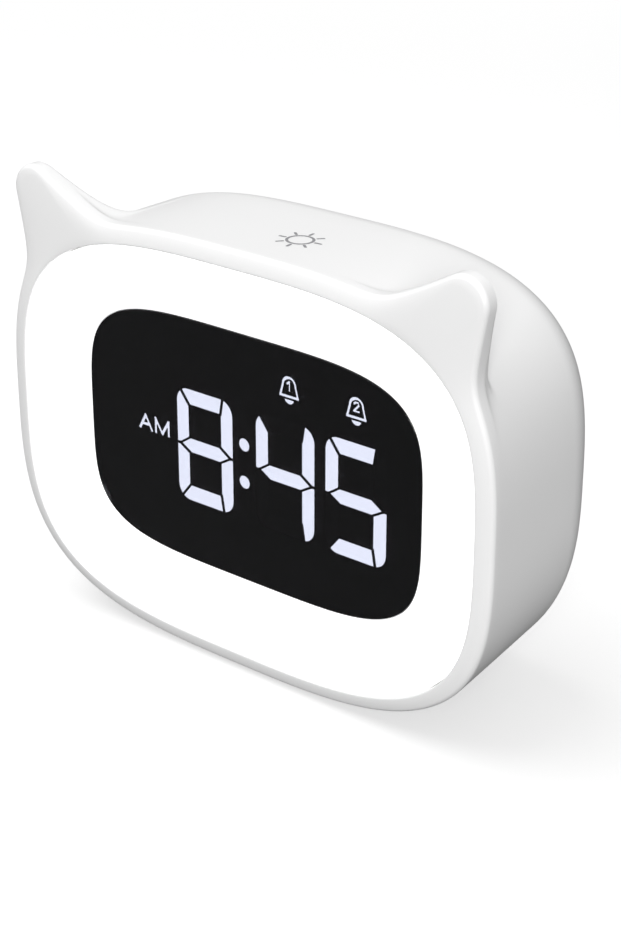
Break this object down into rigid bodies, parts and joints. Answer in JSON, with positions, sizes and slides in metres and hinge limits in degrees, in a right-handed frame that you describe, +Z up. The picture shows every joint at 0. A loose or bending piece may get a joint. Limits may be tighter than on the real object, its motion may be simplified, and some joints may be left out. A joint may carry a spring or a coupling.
{
  "type": "alarm clock with night light",
  "caption": "Free-standing bedside alarm clock with two ears, a lit opal ring round a smoked digital display, a touch key on top and push buttons on the back.",
  "frame": {"origin": "middle of the footprint at the surface that the clock stands on", "axes": "+Z up, the display faces -Y, +X to the right as seen from the front"},
  "size_m": [0.1382, 0.0498, 0.1084],
  "materials": {
    "white_shell": "satin white moulding",
    "opal": "translucent opal white",
    "smoked_acrylic": "polished dark smoked sheet",
    "white_light_bar": "diffusing light bar",
    "dark_film": "matte black printed film",
    "reflector_white": "matte white",
    "circuit_board": "solder mask",
    "lamp_body": "lamp package",
    "black_plastic": "moulded black",
    "steel": "plated steel",
    "copper": "foil",
    "lead_insulation": "soft insulation",
    "ribbon_film": "flat flexible ribbon",
    "paper_cone": "pressed paper",
    "ferrite": "ground ferrite",
    "foot_rubber": "soft grey rubber"
  },
  "bodies": {
    "housing": {"battery_door": "white_shell", "battery_door_screw": "steel", "board_capacitors": "black_plastic", "board_connectors": "reflector_white", "board_screws": "steel", "cell_contact_negative": "steel", "cell_contact_positive": "steel", "clock_crystal": "steel", "coin_cell": "steel", "controller_chip": "black_plastic", "cover_screws": "steel", "display_board": "circuit_board", "display_connector": "reflector_white", "display_leds": "lamp_body", "display_lens": "smoked_acrylic", "display_mask": "dark_film", "display_reflector": "reflector_white", "display_ribbon": "ribbon_film", "display_screws": "steel", "foot_front_left": "foot_rubber", "foot_front_right": "foot_rubber", "foot_rear_left": "foot_rubber", "foot_rear_right": "foot_rubber", "frame_screws": "steel", "front_frame": "white_shell", "light_diffuser": "opal", "light_tray": "reflector_white", "lit_digits": "white_light_bar", "lit_symbols": "white_light_bar", "main_board": "circuit_board", "main_shell": "white_shell", "rear_cover": "white_shell", "ring_light_board": "circuit_board", "ring_light_leads": "lead_insulation", "ring_light_leds": "lamp_body", "slide_switch_body": "black_plastic", "speaker_basket": "steel", "speaker_cone": "paper_cone", "speaker_leads": "lead_insulation", "speaker_magnet": "ferrite", "tact_switches": "black_plastic", "touch_electrode": "copper", "touch_lead": "lead_insulation", "unlit_segments": "white_light_bar", "usb_socket": "steel", "usb_tongue": "black_plastic"},
    "button_set": {"button_set": "white_shell", "plunger_set": "black_plastic"},
    "button_alarm_1": {"button_alarm_1": "white_shell", "plunger_alarm_1": "black_plastic"},
    "button_alarm_2": {"button_alarm_2": "white_shell", "plunger_alarm_2": "black_plastic"},
    "button_minus": {"button_minus": "white_shell", "plunger_minus": "black_plastic"},
    "button_plus": {"button_plus": "white_shell", "plunger_plus": "black_plastic"},
    "alarm_switch": {"alarm_switch_knob": "black_plastic"}
  },
  "joints": [
    {"name": "set_press", "type": "slide", "parent": "housing", "child": "button_set", "axis": [0, -1, 0], "range_m": [0, 0.0008], "stiffness_N_per_m": 900, "springref_m": -0.0006},
    {"name": "alarm_1_press", "type": "slide", "parent": "housing", "child": "button_alarm_1", "axis": [0, -1, 0], "range_m": [0, 0.0008], "stiffness_N_per_m": 900, "springref_m": -0.0006},
    {"name": "alarm_2_press", "type": "slide", "parent": "housing", "child": "button_alarm_2", "axis": [0, -1, 0], "range_m": [0, 0.0008], "stiffness_N_per_m": 900, "springref_m": -0.0006},
    {"name": "minus_press", "type": "slide", "parent": "housing", "child": "button_minus", "axis": [0, -1, 0], "range_m": [0, 0.0008], "stiffness_N_per_m": 900, "springref_m": -0.0006},
    {"name": "plus_press", "type": "slide", "parent": "housing", "child": "button_plus", "axis": [0, -1, 0], "range_m": [0, 0.0008], "stiffness_N_per_m": 900, "springref_m": -0.0006},
    {"name": "alarm_switch_slide", "type": "slide", "parent": "housing", "child": "alarm_switch", "axis": [1, 0, 0], "range_m": [0, 0.003]}
  ]
}
